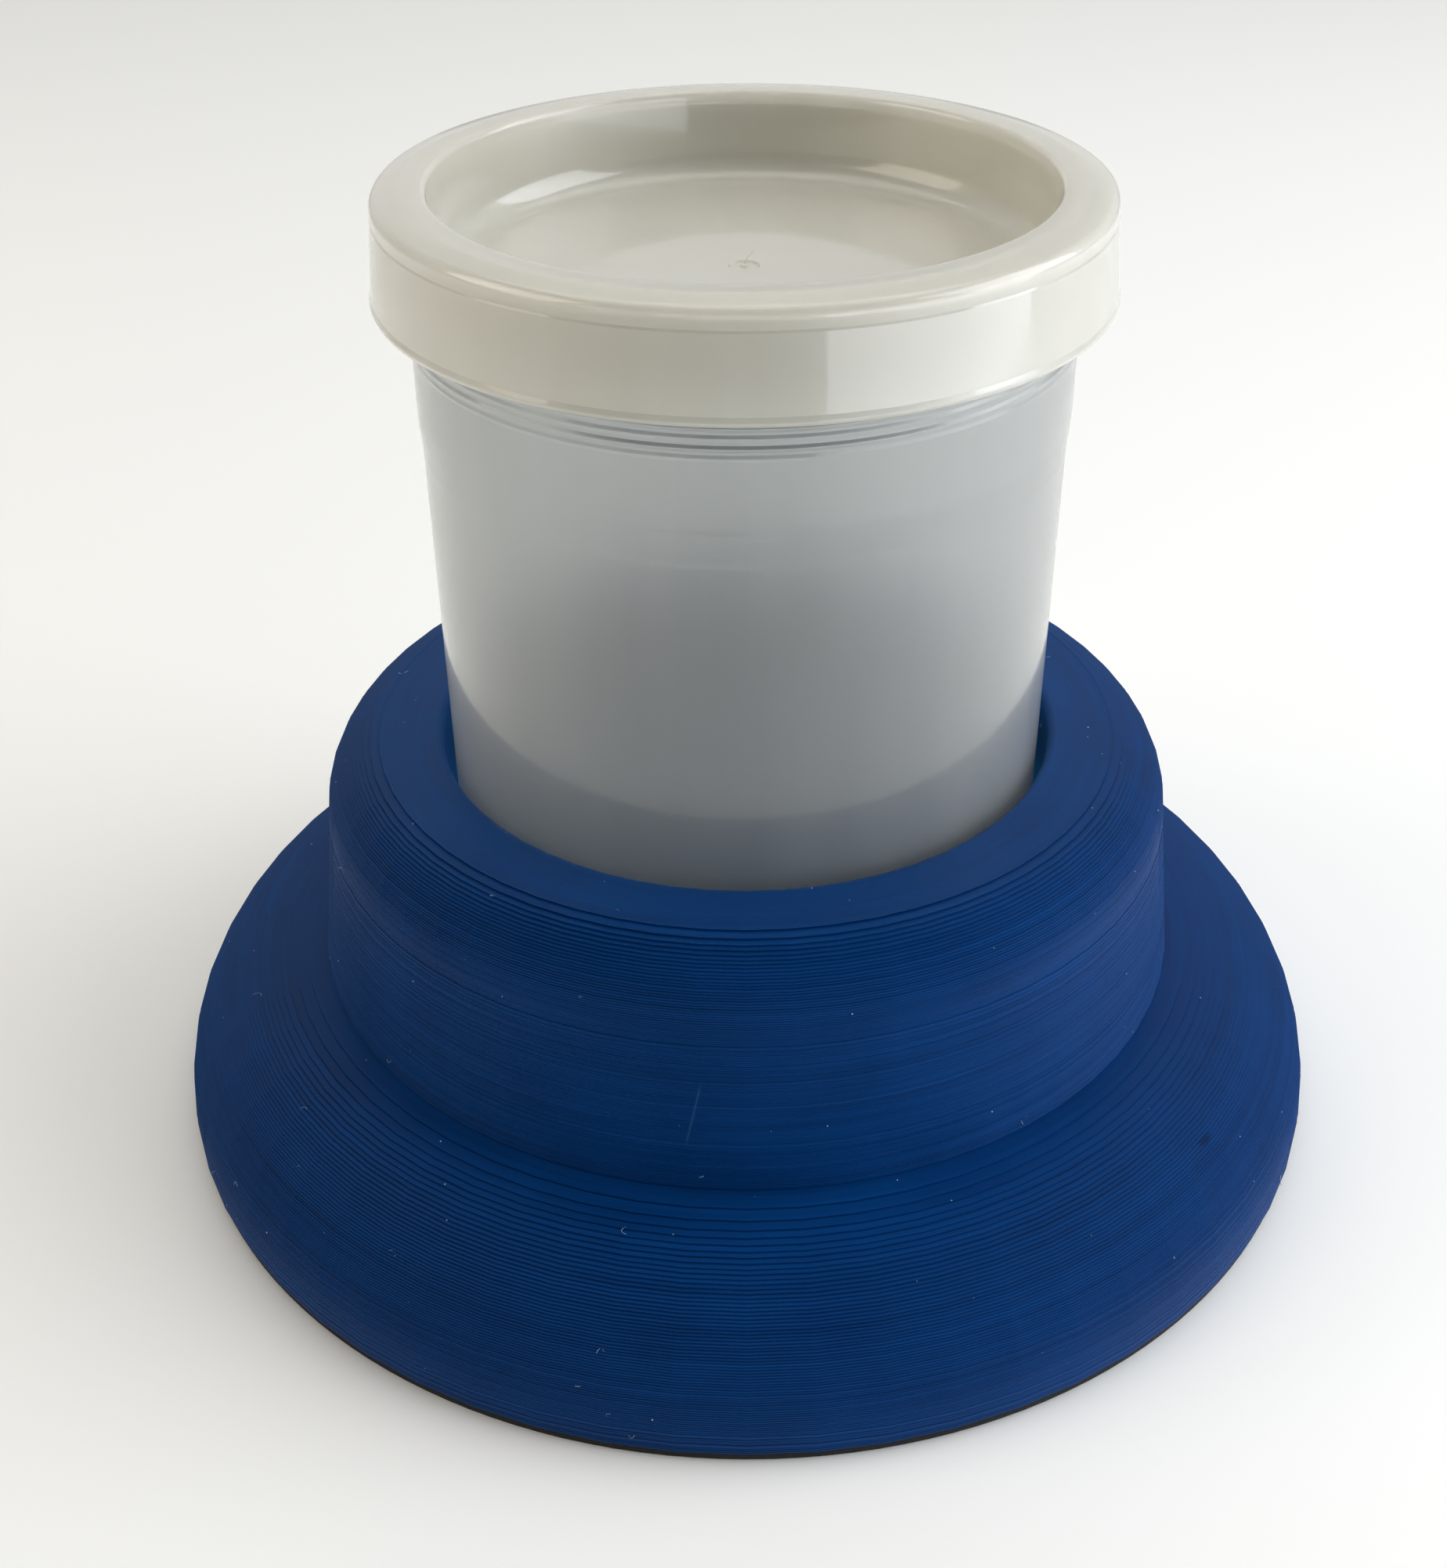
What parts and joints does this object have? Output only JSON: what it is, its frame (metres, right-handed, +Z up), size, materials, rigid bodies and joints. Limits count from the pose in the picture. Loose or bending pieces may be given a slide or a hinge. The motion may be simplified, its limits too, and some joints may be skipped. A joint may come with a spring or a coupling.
{
  "type": "paw washer cup",
  "caption": "Translucent round tub with a push-on lid, standing in the bore of a wide flared printed stand on a thin rubber pad.",
  "frame": {"origin": "centre of the anti-slip pad's underside, on the surface the object stands on", "axes": "+Z up along the axis that the stand, cup and lid share; the object is round, so X and Y are free"},
  "size_m": [0.175, 0.175, 0.1389],
  "materials": {
    "lid_plastic": "glossy moulded natural polypropylene, milky and slightly see-through",
    "cup_plastic": "glossy moulded translucent polypropylene",
    "printed_plastic": "blue 3D-printed PLA with fine layer lines, satin",
    "pad_rubber": "matt black foam rubber"
  },
  "bodies": {
    "stand": {"stand": "printed_plastic", "anti_slip_pad": "pad_rubber"},
    "cup": {"cup": "cup_plastic"},
    "lid": {"lid": "lid_plastic"}
  },
  "joints": [
    {"name": "cup_lift", "type": "slide", "parent": "stand", "child": "cup", "axis": [0, 0, 1], "range_m": [0, 0.07]},
    {"name": "lid_lift", "type": "slide", "parent": "cup", "child": "lid", "axis": [0, 0, 1], "range_m": [0, 0.03]}
  ]
}
